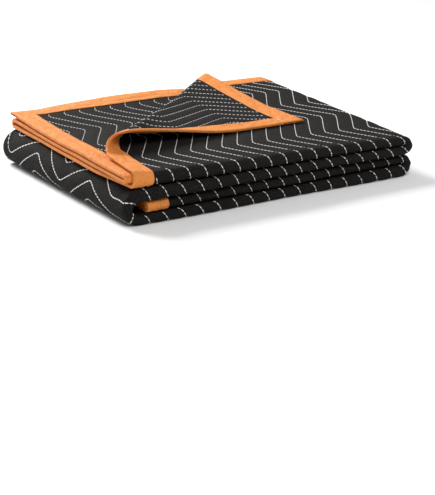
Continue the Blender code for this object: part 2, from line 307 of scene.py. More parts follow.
# The row that holds the tape: how far in from the tape's inner edge, thread, stitch and step, how deep
# the thread lies, and where the long tapes' rows start
SEAM_IN = 0.0115
SEAM_THREAD = 0.0007
SEAM_STITCH = 0.0034
SEAM_STEP = 0.0045
SEAM_SUNK = 0.00005
SEAM_START = 0.002
# The white stitches over the tapes' joint: how many, where the first one lies and their step, how far in
# from the tape's inner edge, and their direction, length and radius
JOINT_STITCHES = 5
JOINT_START = 0.008
JOINT_STEP = 0.0045
JOINT_IN = 0.0015
JOINT_WAY = (0.5, 1.0, 0.0)
JOINT_STITCH = 0.0042
JOINT_RADIUS = 0.0006

# The smallest distance that counts
TINY = 1e-6
# How far past the turned corner's cloth its bending lines are cut, and how far beside a bend the mesh
# is fine
CUT_PAST = 0.02
FINE_BESIDE = 0.002

# How much of the cloth's shade comes from its weave and from its patches, how far all of it is taken
# down, how much rougher its patches are, and the depth of the small puckers in its finish
WEAVE_SHADE = 0.65
PATCH_SHADE = 0.55
SHADE_DOWN = 0.1
PATCH_ROUGH = 0.15
PUCKER_HEIGHT = 0.003

# The lamps: name, place, size and power, all aimed at the pad
AIM = (0.0, 0.0, 0.05)
LAMPS = [
    ("key", (-0.5, 1.8, 1.5), 1.2, 84.0),
    ("fill", (-0.4, -1.7, 1.95), 0.9, 26.0),
    ("side", (1.8, -0.6, 1.4), 1.2, 12.0),
]
# The strength of the pale surround, and half the floor's width
SURROUND = 0.28
FLOOR_HALF = 8.0


def smooth(share):
    """Goes from 0 to 1 with a soft start and end."""
    share = min(1.0, max(0.0, share))
    return share * share * (3 - 2 * share)


def walk(way, start, heading, distance):
    """The point at a distance along a way, and the unit vector to its left."""
    x, y = start
    for name, length, turn, *_ in way:
        part = distance if name == way[-1][0] else min(distance, length)
        if turn:
            radius = length / turn
            ahead = heading + part / radius
            x += radius * (math.sin(ahead) - math.sin(heading))
            y -= radius * (math.cos(ahead) - math.cos(heading))
            heading = ahead
        else:
            x += part * math.cos(heading)
            y += part * math.sin(heading)
        distance -= part
        if distance <= 0:
            break
    return (x, y), (-math.sin(heading), math.cos(heading))


def ends_of(way):
    """Where each named step of a way starts and ends."""
    ends = {}
    total = 0.0
    for name, length, *_ in way:
        ends[name] = (total, total + length)
        total += length
    return ends


ALONG = ends_of(WIDTH_WAY)
DOWN = ends_of(DEPTH_WAY)


def pulled(s, t):
    """Draws the top layer in at its end and out towards its corner, still flat."""
    front = DOWN["turned_layer"][1]
    along = max(0.0, 1 - s / TOP_RUN)
    back = max(0.0, 1 - t / front)
    drawn = 1 - min(1.0, max(0.0, t - front) / PULL_FADE)
    return s + along * (PULL_FRONT * drawn + PULL_IN * back), t - along * back * PULL_BACK


def roll_distance(x, y):
    """How far a point of the top layer is past the line where its roll starts."""
    return (y - ROLL_LEFT[1]) * ROLL_COS - (x - ROLL_LEFT[0]) * ROLL_SIN + ROLL_RADIUS


def rolled(x, y, above):
    """Takes a point of the top layer, some way above its middle, over with the turned corner."""
    past = roll_distance(x, y)
    if past <= 0:
        return x, y, above
    along = (x - ROLL_LEFT[0]) * ROLL_COS + (y - ROLL_LEFT[1]) * ROLL_SIN
    (out, up), (out_side, up_side) = walk(ROLL_WAY, (-ROLL_RADIUS, 0.0), 0.0, past)
    share = min(1.0, max(0.0, along / ROLL_LENGTH))
    squash = ROLL_SQUASH * math.sin(math.pi * share) ** 2 + ROLL_SQUASH_BACK * share
    up -= squash * max(0.0, up - FLAP_STEP)
    out += above * out_side
    x = ROLL_LEFT[0] + along * ROLL_COS - out * ROLL_SIN
    y = ROLL_LEFT[1] + along * ROLL_SIN + out * ROLL_COS
    return x, y, up + above * up_side


def arch(s, t, past):
    """How far the turned corner's front edge arches up, or the cloth behind it is hollow."""
    share = min(1.0, max(0.0, (t - ARCH_FROM) / (ARCH_TO - ARCH_FROM)))
    over = smooth(past / (ROLL_RADIUS * math.pi) - 0.5)
    front = DOWN["turned_layer"][1]
    drawn = PULL_FRONT + PULL_IN * max(0.0, 1 - (t + PULL_BACK) / (front + PULL_BACK))
    edge = max(0.0, s - drawn) / ARCH_REACH
    rise = ARCH * smooth(1 - edge) - ARCH_HOLLOW * edge * edge * math.exp(2 - 2 * edge)
    return rise * over * math.sin(math.pi * share) ** 2


def fan(x, y, on_top):
    """How much further apart the top panel's layers lie at a place seen from above."""
    left = FAN_LEFT * smooth(1 - x / FAN_LEFT_REACH)
    reach = smooth(1 - x / FAN_BACK_REACH)
    if on_top:
        return left + FAN_BACK * smooth(y / PAD_DEPTH) * reach
    curl = CURL * max(0.0, (y - CURL_START) / CURL_DEPTH) ** 2
    curl *= smooth(x / CURL_LEFT) * smooth((CURL_RIGHT - x) / CURL_FADE)
    return left + FAN_UNDER * smooth((y - FAN_UNDER_START) / FAN_UNDER_DEPTH) * reach + curl


def lifted(x, y, z):
    """The height that a point of the even stack has in the uneven one."""
    right = min(1.0, max(0.0, x / PAD_WIDTH))
    back = min(1.0, max(0.0, y / PAD_DEPTH))
    front_row = LIFT["front_left"] * (1 - right) + LIFT["front_right"] * right
    back_row = LIFT["back_left"] * (1 - right) + LIFT["back_right"] * right
    share = min(1.0, max(0.0, z / STACK))
    even = SETTLE_LEFT * (1 - right) + SETTLE_RIGHT * right
    shift = even * math.sin(math.pi * share) + SETTLE_RIGHT_LOW * right * math.sin(2 * math.pi * share)
    return (z + STACK * shift) * (front_row * (1 - back) + back_row * back)


def panel_back(s):
    """How far back the bundle lies at s."""
    start = before = 0.0
    for _, length, _, _, back in WIDTH_WAY:
        if s < start + length:
            break
        start += length
        before = back
    share = smooth((s - start) / length)
    return before + (back - before) * share + WAVE * math.sin(2 * math.pi * s / WAVE_LENGTH)


def level_of(t, w=0.0):
    """The place in the depth, and the height over the bundle's middle, of a point at t and w."""
    (y, level), (y_side, level_side) = walk(DEPTH_WAY, (TURNED_EDGE_Y, OUTER), math.pi, t)
    return y + w * y_side, level + w * level_side, level


def folded(s, t, w):
    """The place in the folded pad of a point of the flat, pulled cloth."""
    y, level, middle = level_of(t, w)
    (x, z), (x_side, z_side) = walk(WIDTH_WAY, (0.0, TOP_Z), 0.0, s)
    if s < TOP_RUN:
        above = level - OUTER
        on_top = t < DOWN["turned_layer"][1]
        if on_top:
            past = roll_distance(x, y)
            x, y, above = rolled(x, y, above)
            above += arch(s, t, past)
        z += OUTER + above + fan(x, y, on_top) * (middle + OUTER)
    else:
        x += level * x_side
        z += level * z_side
        out = BULGE_OUT + BULGE_OUT_BACK * max(0.0, y / PAD_DEPTH)
        x -= out * smooth(1 - x / BULGE_OUT_REACH)
    z = lifted(x, y, z)
    y += panel_back(s)
    lump = noise.noise_vector(Vector((x / LUMP_LONG, y / LUMP_DEEP, z / LUMP_TALL)))
    lump *= LUMP * smooth(z / (2 * BUNDLE))
    return x + lump.x / 2, y + lump.y, z + lump.z / 2


def zigzag(t):
    """How far the sewn rows lie to the side at t."""
    start, end = DOWN["outer_layer"]
    stretched = ZIGZAG_STRETCH * max(0.0, t - start)
    stretched += ZIGZAG_BACK * smooth((t - start) / ZIGZAG_FADE) * smooth(1 - (t - end) / ZIGZAG_FADE)
    turn = math.cos(2 * math.pi * (t - stretched - ZIGZAG_START) / ZIGZAG_LENGTH)
    return ZIGZAG_REACH * math.asin(ZIGZAG_SHARP * turn) * 2 / math.pi


def headed(s):
    """The turn that the width's way has made at s."""
    total = 0.0
    for name, length, turn, *_ in WIDTH_WAY:
        start = ALONG[name][0]
        total += turn * min(1.0, max(0.0, (s - start) / length))
    return total


def level_share(t):
    """How much of its layer's height over the bundle's middle a point's rows follow in the bends."""
    front = DOWN["outer_front_bend"]
    away = max(front[0] - t, min(t - front[1], DOWN["back_bend"][0] - t))
    return smooth(away / ROW_FADE) * level_of(t)[1]


def sewn_place(s, t):
    """The distance across the rows at a point: s, and in a bend the length that its layer has there."""
    return s - level_share(t) * headed(s)


def row_share(s, t):
    """How far a point lies past the last sewn row, as a share of the distance between two rows."""
    return ((sewn_place(s, t) - ROW_START - zigzag(t)) / QUILT_STEP) % 1.0


def is_bound(s, t):
    """If a point of the cloth lies under the tape."""
    return min(s, CLOTH_LENGTH - s, t, CLOTH_WIDTH - t) < BOUND


def rests(s, t):
    """If the outer face of the cloth lies on the floor at a point."""
    bottom = ALONG["bottom_panel"]
    outer = DOWN["outer_layer"]
    return bottom[0] <= s <= bottom[1] and outer[0] <= t <= outer[1]


def half_cloth(s, t, side):
    """Half the cloth's thickness at a point, on its inner (+1) or outer (-1) face."""
    edge = min(s, CLOTH_LENGTH - s, t, CLOTH_WIDTH - t) - BOUND
    if edge < 0:
        return CLOTH_BOUND / 2
    if side < 0 and rests(s, t):
        return CLOTH / 2
    crest = math.sin(math.pi * row_share(s, t)) ** ROW_WIDE
    lumps = FACE_LUMP * noise.noise(Vector((s * FACE_LUMPS, t * FACE_LUMPS, FACES_APART * side)))
    full = CLOTH / 2 + PUFF_OUT - ROW_DEEP * (1 - crest) + lumps
    return CLOTH_BOUND / 2 + (full - CLOTH_BOUND / 2) * smooth((edge + SWELL_UNDER) / SWELL)


def lines_of(way):
    """The mesh's lines across a way, each as its distance along it."""
    lines = [0.0]
    for _, length, _, size, *_ in way:
        start = lines[-1]
        count = max(1, round(length / size))
        lines += [start + length * step / count for step in range(1, count + 1)]
    return lines


def between(values, index):
    """The value at an index that may lie between two whole ones."""
    low = min(int(index + TINY), len(values) - 2)
    share = index - low
    return values[low] * (1 - share) + values[low + 1] * share


def grid(across, along):
    """A mesh of unit squares, its points at whole numbers."""
    mesh = bmesh.new()
    bmesh.ops.create_grid(mesh, x_segments=across, y_segments=along, size=0.5)
    for vert in mesh.verts:
        vert.co = (round((vert.co.x + 0.5) * across), round((vert.co.y + 0.5) * along), 0.0)
    return mesh


def cut_for_roll(mesh):
    """Cuts flat, pulled work along the lines in which the turned corner bends."""
    past = 0.0
    lines = [past]
    for _, length, _, cuts in ROLL_WAY[:-1]:
        lines += [past + length * cut / cuts for cut in range(1, cuts + 1)]
        past += length
    for line in lines:
        across = (line - ROLL_RADIUS) * ROLL_COS + ROLL_LEFT[1]
        through = (ROLL_LEFT[0] - (line - ROLL_RADIUS) * ROLL_SIN, TURNED_EDGE_Y - across, 0.0)
        normal = Vector((ROLL_SIN, ROLL_COS, 0.0))
        near = [
            face
            for face in mesh.faces
            if max(vert.co.x for vert in face.verts) < TOP_RUN + CUT_PAST
            and min(vert.co.y for vert in face.verts) < DOWN["outer_front_bend"][1]
        ]
        edges = {edge for face in near for edge in face.edges}
        verts = {vert for face in near for vert in face.verts}
        geometry = list(verts) + list(edges) + near
        bmesh.ops.bisect_plane(mesh, geom=geometry, dist=TINY, plane_co=through, plane_no=normal)


def fold_up(mesh, cut=True):
    """Keeps the flat places as a map, and then pulls, cuts and folds flat work."""
    flat = mesh.loops.layers.uv.new("flat")
    for face in mesh.faces:
        for loop in face.loops:
            loop[flat].uv = (loop.vert.co.x, loop.vert.co.y)
    for vert in mesh.verts:
        s, t = pulled(vert.co.x, vert.co.y)
        vert.co = (s, t, vert.co.z)
    if cut:
        cut_for_roll(mesh)
        bmesh.ops.triangulate(mesh, faces=mesh.faces[:])
    for vert in mesh.verts:
        vert.co = folded(*vert.co)


def keep(mesh, name, material):
    """Keeps a folded mesh as a smooth named piece."""
    bmesh.ops.recalc_face_normals(mesh, faces=mesh.faces[:])
    if mesh.calc_volume(signed=True) < 0:
        bmesh.ops.reverse_faces(mesh, faces=mesh.faces[:])
    data = bpy.data.meshes.new(name)
    mesh.to_mesh(data)
    mesh.free()
    data.shade_smooth()
    data.materials.append(material)
    piece = bpy.data.objects.new(name, data)
    bpy.context.scene.collection.objects.link(piece)
    return piece


def subdivide(mesh, chosen, across, along):
    """Splits the chosen faces of an index mesh, by direction."""
    for cuts, axis in ((across, 0), (along, 1)):
        if not cuts:
            continue
        edges = set()
        for face in mesh.faces:
            if chosen(face.calc_center_median()):
                for edge in face.edges:
                    way = edge.verts[0].co - edge.verts[1].co
                    if abs(way[axis]) > abs(way[1 - axis]):
                        edges.add(edge)
        bmesh.ops.subdivide_edges(mesh, edges=list(edges), cuts=cuts, use_grid_fill=True)


def make_cloth(material):
    """The quilted cloth: one closed sheet, thick between its sewn rows."""
    columns = lines_of(WIDTH_WAY)
    lines = lines_of(DEPTH_WAY)
    mesh = grid(len(columns) - 1, len(lines) - 1)

    def place(point):
        return between(columns, point.x), between(lines, point.y)

    def on_top(point):
        s, t = place(point)
        shown = t < DOWN["outer_front_bend"][0] or t > DOWN["under_layer"][0]
        return shown and s < ALONG["upper_right_bend"][1]

    def at_ends(point):
        s, t = place(point)
        if not DOWN["outer_layer"][0] < t < DOWN["outer_layer"][1]:
            return False
        bends = (ALONG[name] for name in ("upper_right_bend", "left_bulge", "lower_right_bend"))
        return any(start - QUILT_STEP < s < end + QUILT_STEP for start, end in bends)

    def at_folds(point):
        _, t = place(point)
        bends = (DOWN[name] for name in ("outer_front_bend", "back_bend", "inner_front_bend"))
        return any(start - FINE_BESIDE < t < end + FINE_BESIDE for start, end in bends)

    subdivide(mesh, at_folds, 1, 0)
    subdivide(mesh, on_top, 2, 2)
    subdivide(mesh, at_ends, 1, 3)
    bmesh.ops.solidify(mesh, geom=mesh.faces[:], thickness=1.0)
    upper = max(vert.co.z for vert in mesh.verts)
    for vert in mesh.verts:
        place_s, t = place(vert.co)
        near_end = min(place_s, CLOTH_LENGTH - place_s)
        s = place_s + zigzag(t) * smooth(near_end / ROW_END_FADE)
        side = 1.0 if vert.co.z > upper - 0.5 else -1.0
        vert.co = (s, t, side * half_cloth(s, t, side))
    fold_up(mesh)
    return keep(mesh, "quilted_cloth", material)


def tape_section():
    """The tape's cross-section: distance in from the cloth's edge, and height over its middle."""
    inside = CLOTH_BOUND / 2 + TAPE_GAP
    outside = inside + TAPE
    upper = [(TAPE_REACH - inwards, outside + TAPE_SWELL * sign) for inwards, sign in TAPE_FORM]
    upper.append((NOSE_START, outside))
    nose = [
        (-TAPE_GAP - TAPE * math.sin(turn), outside * math.cos(turn))
        for turn in (math.pi * step / NOSE_STEPS for step in range(1, NOSE_STEPS))
    ]
    lower = [(inwards, -height) for inwards, height in reversed(upper)]
    across = [share * TAPE_REACH for share in INNER_WALL] + [-TAPE_GAP / 2]
    inner = [(inwards, -inside) for inwards in across] + [(inwards, inside) for inwards in reversed(across)]
    return upper + nose + lower + inner + upper[:1]


def tape_ripple(along, inwards, height, seed):
    """The small puckers of sewn tape, strongest at its inner edge."""
    share = smooth(inwards / TAPE_REACH)
    wave = noise.noise(Vector((along * PUCKERS_CLOSE, seed, 0.0)))
    wave += PUCKER_WIDE_SHARE * noise.noise(Vector((along * PUCKERS_WIDE, seed, 9.0)))
    edge = EDGE_WANDER * noise.noise(Vector((along * EDGE_WANDERS, seed, 5.0))) * share
    is_outer = abs(height) > CLOTH_BOUND / 2 + TAPE_GAP + TAPE / 2
    lift = PUCKER * wave * share if is_outer else 0.0
    return inwards + edge, height + math.copysign(max(lift, -PUCKER_SUNK), height)


def make_tape(name, stations, place, material, seed):
    """Tape folded over an edge, along the stations that the cloth has there."""
    section = tape_section()
    mesh = grid(len(section) - 1, len(stations) - 1)
    for vert in mesh.verts:
        station = stations[round(vert.co.y)]
        inwards, height = section[round(vert.co.x)]
        inwards, height = tape_ripple(station, inwards, height, seed)
        if station < -TAPE_GAP or station > CLOTH_LENGTH + TAPE_GAP:
            height *= TAPE_END
        vert.co = (*place(inwards, station), height)
    bmesh.ops.remove_doubles(mesh, verts=mesh.verts[:], dist=TINY)
    open_edges = [edge for edge in mesh.edges if edge.is_boundary]
    bmesh.ops.holes_fill(mesh, edges=open_edges, sides=0)
    fold_up(mesh)
    return keep(mesh, name, material)


def tape_stations(way, first, last):
    """Places along a tape, close together in the bends; past the cloth's end it closes."""
    stations = [first, -TAPE_GAP / 2] if first < 0 else [first]
    start = 0.0
    for _, length, turn, *_ in way:
        count = max(1, round(length / (TAPE_LONG_BEND if turn else TAPE_LONG)))
        stations += [start + length * step / count for step in range(1, count + 1)]
        start += length
    stations = [place for place in stations if first <= place < last - TAPE_SHORTEST]
    if last > CLOTH_LENGTH:
        stations.append(CLOTH_LENGTH + TAPE_GAP / 2)
    return stations + [last]


def make_thread(name, stitches, material):
    """Every stitch as a small long bead, half sunk in the cloth; made a few at a time, for speed."""
    sewn = bmesh.new()
    for start in range(0, len(stitches), STITCHES_AT_ONCE):
        few = bmesh.new()
        for middle, way, length, radius in stitches[start:start + STITCHES_AT_ONCE]:
            turn = way.to_track_quat("Z", "Y").to_matrix().to_4x4()
            place = Matrix.Translation(middle) @ turn @ Matrix.Diagonal((radius, radius, length / 2, 1.0))
            bmesh.ops.create_uvsphere(few, u_segments=5, v_segments=4, radius=1.0, matrix=place)
        data = bpy.data.meshes.new("few")
        few.to_mesh(data)
        few.free()
        sewn.from_mesh(data)
        bpy.data.meshes.remove(data)
    fold_up(sewn, cut=False)
    return keep(sewn, name, material)


def turned_over(s, t):
    """If a point of the top layer lies on the roll or the flap."""
    s, t = pulled(s, t)
    return roll_distance(s, TURNED_EDGE_Y - t) > 0


def shows(s, t, side):
    """If the thread on a face of the cloth can be seen at a point."""
    if is_bound(s, t):
        return False
    on_top = s < TOP_RUN
    outer = DOWN["outer_layer"]
    at_end = any(
        ALONG[name][0] - BESIDE_BEND < s < ALONG[name][1] + BESIDE_BEND
        for name in ("upper_right_bend", "left_bulge", "lower_right_bend")
    )
    if side < 0:
        if t < DOWN["turned_layer"][1]:
            return on_top or ALONG["upper_right_bend"][0] <= s < ALONG["upper_right_bend"][1]
        if t < outer[1]:
            on_floor = rests(s, t) and t > outer[0] + FLOOR_FRONT
            return t < outer[0] + UNDER_FRONT or at_end or on_floor
        return t < DOWN["back_bend"][1] + PAST_BACK
    if t < DOWN["turned_layer"][1]:
        return on_top and turned_over(s, t)
    inner = DOWN["inner_front_bend"]
    if inner[0] - BESIDE_INNER < t < inner[1] + BESIDE_INNER:
        return True
    under = DOWN["under_layer"][0] + UNDER_CORNER_FRONT
    return on_top and t > under and s < TOP_RUN - UNDER_CORNER_RIGHT


def row_point(row, t):
    """The place s of a sewn row at t, found where the distance across the rows is the row's own."""
    wanted = ROW_START + row * QUILT_STEP + zigzag(t)
    reach = level_share(t)
    low, high = wanted - abs(reach) * MOST_TURN, wanted + abs(reach) * MOST_TURN
    for _ in range(ROW_SEARCHES):
        middle = (low + high) / 2
        if middle - reach * headed(middle) < wanted:
            low = middle
        else:
            high = middle
    return (low + high) / 2


def row_stitches(side):
    """The stitches of the zig-zag rows that show on one face of the cloth, each a little uneven."""
    stitches = []
    for row in range(-1, int((CLOTH_LENGTH + ROWS_PAST) / QUILT_STEP)):
        t = ROW_UNEVEN * noise.noise(Vector((row * 1.7, side, 0.5))) + BOUND
        s = row_point(row, t)
        while t < CLOTH_WIDTH - BOUND:
            slope = (row_point(row, t + SLOPE_OVER) - s) / SLOPE_OVER
            if shows(s, t, side):
                uneven = noise.noise(Vector((s * UNEVEN_TIMES, t * UNEVEN_TIMES, side)))
                way = Vector((slope, 1.0, 0.0)).normalized()
                way.x += STITCH_ASKEW * uneven
                over = -THREAD_SUNK if side < 0 and rests(s, t) else THREAD_OVER
                middle = Vector((s, t, side * (half_cloth(s, t, side) + over)))
                length = STITCH * (1 + STITCH_UNEVEN * uneven) * (1 if side < 0 else INNER_STITCH)
                stitches.append((middle, way, length, THREAD / 2 * (1 if side < 0 else INNER_THREAD)))
            t += STITCH_STEP / math.sqrt(1 + slope * slope)
            s = row_point(row, t)
    return stitches


def tape_stitches(seams):
    """The row of stitches that holds each tape, on both of its faces."""
    stitches = []
    height = CLOTH_BOUND / 2 + TAPE_GAP + TAPE - SEAM_SUNK
    for first, last, place in seams:
        along = first
        while along < last:
            middle = Vector((*place(TAPE_REACH - SEAM_IN, along), 0.0))
            way = Vector((*place(TAPE_REACH - SEAM_IN, along + SEAM_STEP), 0.0)) - middle
            for side in (-1, 1):
                point = middle + Vector((0.0, 0.0, side * height))
                stitches.append((point, way.normalized(), SEAM_STITCH, SEAM_THREAD / 2))
            along += SEAM_STEP
    return stitches


def corner_stitches():
    """The few white stitches over the tapes' joint at the turned corner."""
    height = CLOTH_BOUND / 2 + TAPE_GAP + TAPE
    way = Vector(JOINT_WAY).normalized()
    stitches = []
    for step in range(JOINT_STITCHES):
        middle = Vector((JOINT_START + JOINT_STEP * step, TAPE_REACH - JOINT_IN, height))
        stitches.append((middle, way, JOINT_STITCH, JOINT_RADIUS))
    return stitches


def new_material(name):
    """A material with its nodes, its links and its Principled shader."""
    material = bpy.data.materials.new(name)
    material.use_nodes = True
    tree = material.node_tree
    return material, tree, tree.nodes["Principled BSDF"]


def math_node(tree, operation, first, second=None, clamp=False):
    """A Math node fed by sockets or numbers; gives its output."""
    node = tree.nodes.new("ShaderNodeMath")
    node.operation = operation
    node.use_clamp = clamp
    for socket, value in zip(node.inputs, (first, second)):
        if value is None:
            continue
        if isinstance(value, bpy.types.NodeSocket):
            tree.links.new(value, socket)
        else:
            socket.default_value = value
    return node.outputs[0]


def woven_group():
    """A node group: the height and shade of a plain weave over the flat map, in metres."""
    tree = bpy.data.node_groups.new("plain_weave", "ShaderNodeTree")
    for name, kind, default in (("Place", "NodeSocketVector", None), ("Across", "NodeSocketFloat", 0.001),
                                ("Along", "NodeSocketFloat", 0.001), ("Uneven", "NodeSocketFloat", 0.3)):
        socket = tree.interface.new_socket(name=name, in_out="INPUT", socket_type=kind)
        if default is not None:
            socket.default_value = default
    for name in ("Height", "Shade"):
        tree.interface.new_socket(name=name, in_out="OUTPUT", socket_type="NodeSocketFloat")
    into = tree.nodes.new("NodeGroupInput")
    out = tree.nodes.new("NodeGroupOutput")
    apart = tree.nodes.new("ShaderNodeSeparateXYZ")
    tree.links.new(into.outputs["Place"], apart.inputs[0])
    across = math_node(tree, "DIVIDE", apart.outputs[0], into.outputs["Across"])
    along = math_node(tree, "DIVIDE", apart.outputs[1], into.outputs["Along"])
    waves = []
    for value in (across, along):
        turned = math_node(tree, "MULTIPLY", value, math.pi)
        waves.append(math_node(tree, "ABSOLUTE", math_node(tree, "SINE", turned)))
    half = math_node(tree, "MULTIPLY", math_node(tree, "ADD", across, along), 0.5)
    checker = math_node(tree, "GREATER_THAN", math_node(tree, "FRACT", half), 0.5)
    over = math_node(tree, "MULTIPLY", waves[0], checker)
    under = math_node(tree, "MULTIPLY", waves[1], math_node(tree, "SUBTRACT", 1.0, checker))
    height = math_node(tree, "ADD", over, under)
    slubs = tree.nodes.new("ShaderNodeTexNoise")
    slubs.inputs["Scale"].default_value = 420.0
    slubs.inputs["Detail"].default_value = 2.0
    tree.links.new(into.outputs["Place"], slubs.inputs["Vector"])
    uneven = math_node(tree, "MULTIPLY", slubs.outputs["Fac"], into.outputs["Uneven"])
    tree.links.new(math_node(tree, "ADD", height, uneven), out.inputs["Height"])
    tree.links.new(math_node(tree, "ADD", math_node(tree, "MULTIPLY", height, 0.6), uneven, True),
                   out.inputs["Shade"])
    return tree


def creased_group():
    """A node group: the height of small puckers that run across sewn tape."""
    tree = bpy.data.node_groups.new("sewn_puckers", "ShaderNodeTree")
    tree.interface.new_socket(name="Place", in_out="INPUT", socket_type="NodeSocketVector")
    for name, default in (("Wide", 260.0), ("Long", 60.0)):
        socket = tree.interface.new_socket(name=name, in_out="INPUT", socket_type="NodeSocketFloat")
        socket.default_value = default
    tree.interface.new_socket(name="Height", in_out="OUTPUT", socket_type="NodeSocketFloat")
    into = tree.nodes.new("NodeGroupInput")
    out = tree.nodes.new("NodeGroupOutput")
    heights = []
    for name, detail in (("Wide", 3.0), ("Long", 1.0)):
        puckers = tree.nodes.new("ShaderNodeTexNoise")
        puckers.inputs["Detail"].default_value = detail
        puckers.inputs["Distortion"].default_value = 0.4
        tree.links.new(into.outputs["Place"], puckers.inputs["Vector"])
        tree.links.new(into.outputs[name], puckers.inputs["Scale"])
        heights.append(puckers.outputs["Fac"])
    half = math_node(tree, "MULTIPLY", heights[0], 0.5)
    tree.links.new(math_node(tree, "ADD", half, heights[1]), out.inputs["Height"])
    return tree


def mottled_group():
    """A node group: soft patches and fine lint over a piece, as two masks."""
    tree = bpy.data.node_groups.new("mottle_and_lint", "ShaderNodeTree")
    tree.interface.new_socket(name="Place", in_out="INPUT", socket_type="NodeSocketVector")
    for name, default in (("Patch", 30.0), ("Lint", 900.0), ("Lint share", 0.62)):
        socket = tree.interface.new_socket(name=name, in_out="INPUT", socket_type="NodeSocketFloat")
        socket.default_value = default
    for name in ("Patches", "Lint"):
        tree.interface.new_socket(name=name, in_out="OUTPUT", socket_type="NodeSocketFloat")
    into = tree.nodes.new("NodeGroupInput")
    out = tree.nodes.new("NodeGroupOutput")
    patches = tree.nodes.new("ShaderNodeTexNoise")
    patches.inputs["Detail"].default_value = 4.0
    tree.links.new(into.outputs["Place"], patches.inputs["Vector"])
    tree.links.new(into.outputs["Patch"], patches.inputs["Scale"])
    lint = tree.nodes.new("ShaderNodeTexNoise")
    lint.inputs["Detail"].default_value = 1.0
    tree.links.new(into.outputs["Place"], lint.inputs["Vector"])
    tree.links.new(into.outputs["Lint"], lint.inputs["Scale"])
    past = math_node(tree, "SUBTRACT", lint.outputs["Fac"], into.outputs["Lint share"])
    tree.links.new(math_node(tree, "MULTIPLY", past, 9.0, True), out.inputs["Lint"])
    tree.links.new(patches.outputs["Fac"], out.inputs["Patches"])
    return tree


def mixed(tree, share, first, second):
    """A colour mix; gives its output."""
    node = tree.nodes.new("ShaderNodeMix")
    node.data_type = "RGBA"
    for socket, value in zip((node.inputs[0], node.inputs[6], node.inputs[7]), (share, first, second)):
        if isinstance(value, bpy.types.NodeSocket):
            tree.links.new(value, socket)
        else:
            socket.default_value = value
    return node.outputs[2]


def fabric(name, dark, light, pale, weave, groups):
    """A woven fabric: its weave, its patches and its lint, over the flat map."""
    material, tree, shader = new_material(name)
    flat = tree.nodes.new("ShaderNodeUVMap")
    flat.uv_map = "flat"
    woven = tree.nodes.new("ShaderNodeGroup")
    woven.node_tree = groups["weave"]
    woven.inputs["Across"].default_value = weave["across"]
    woven.inputs["Along"].default_value = weave["along"]
    woven.inputs["Uneven"].default_value = weave["uneven"]
    tree.links.new(flat.outputs[0], woven.inputs["Place"])
    mottle = tree.nodes.new("ShaderNodeGroup")
    mottle.node_tree = groups["mottle"]
    mottle.inputs["Patch"].default_value = weave["patch"]
    mottle.inputs["Lint"].default_value = weave["lint"]
    mottle.inputs["Lint share"].default_value = weave["lint_share"]
    tree.links.new(flat.outputs[0], mottle.inputs["Place"])
    shade = math_node(tree, "MULTIPLY", woven.outputs["Shade"], WEAVE_SHADE)
    patches = math_node(tree, "MULTIPLY", mottle.outputs["Patches"], PATCH_SHADE)
    share = math_node(tree, "SUBTRACT", math_node(tree, "ADD", shade, patches), SHADE_DOWN, True)
    # On the tape this mix is partly painted shade: its dark colour is the shade of its creases, laid on in
    # soft patches over its lit colour, as well as its own uneven tone
    base = mixed(tree, share, (*dark, 1.0), (*light, 1.0))
    fleck = math_node(tree, "MULTIPLY", mottle.outputs["Lint"], weave["lint_strength"])
    tree.links.new(mixed(tree, fleck, base, (*pale, 1.0)), shader.inputs["Base Color"])
    rough = math_node(tree, "MULTIPLY", mottle.outputs["Patches"], PATCH_ROUGH)
    rough = math_node(tree, "ADD", rough, weave["roughness"], True)
    tree.links.new(rough, shader.inputs["Roughness"])
    bump = tree.nodes.new("ShaderNodeBump")
    bump.inputs["Strength"].default_value = weave["bump"]
    bump.inputs["Distance"].default_value = weave["bump_height"]
    tree.links.new(woven.outputs["Height"], bump.inputs["Height"])
    puckers = tree.nodes.new("ShaderNodeGroup")
    puckers.node_tree = groups["puckers"]
    puckers.inputs["Wide"].default_value = weave["pucker_fine"]
    puckers.inputs["Long"].default_value = weave["pucker_wide"]
    tree.links.new(flat.outputs[0], puckers.inputs["Place"])
    soft = tree.nodes.new("ShaderNodeBump")
    soft.inputs["Strength"].default_value = weave["pucker"]
    soft.inputs["Distance"].default_value = PUCKER_HEIGHT
    tree.links.new(puckers.outputs["Height"], soft.inputs["Height"])
    tree.links.new(soft.outputs[0], bump.inputs["Normal"])
    tree.links.new(bump.outputs[0], shader.inputs["Normal"])
    shader.inputs["Specular IOR Level"].default_value = weave["gloss"]
    return material


def thread_material(name, colour, worn):
    """Twisted thread: two close colours and a fine twist."""
    material, tree, shader = new_material(name)
    place = tree.nodes.new("ShaderNodeTexCoord")
    spots = tree.nodes.new("ShaderNodeTexNoise")
    spots.inputs["Scale"].default_value = 260.0
    spots.inputs["Detail"].default_value = 2.0
    tree.links.new(place.outputs["Object"], spots.inputs["Vector"])
    tree.links.new(mixed(tree, spots.outputs["Fac"], (*worn, 1.0), (*colour, 1.0)),
                   shader.inputs["Base Color"])
    twist = tree.nodes.new("ShaderNodeTexNoise")
    twist.inputs["Scale"].default_value = 2600.0
    tree.links.new(place.outputs["Object"], twist.inputs["Vector"])
    bump = tree.nodes.new("ShaderNodeBump")
    bump.inputs["Strength"].default_value = 0.5
    bump.inputs["Distance"].default_value = 0.0002
    tree.links.new(twist.outputs["Fac"], bump.inputs["Height"])
    tree.links.new(bump.outputs[0], shader.inputs["Normal"])
    shader.inputs["Roughness"].default_value = 0.6
    return material


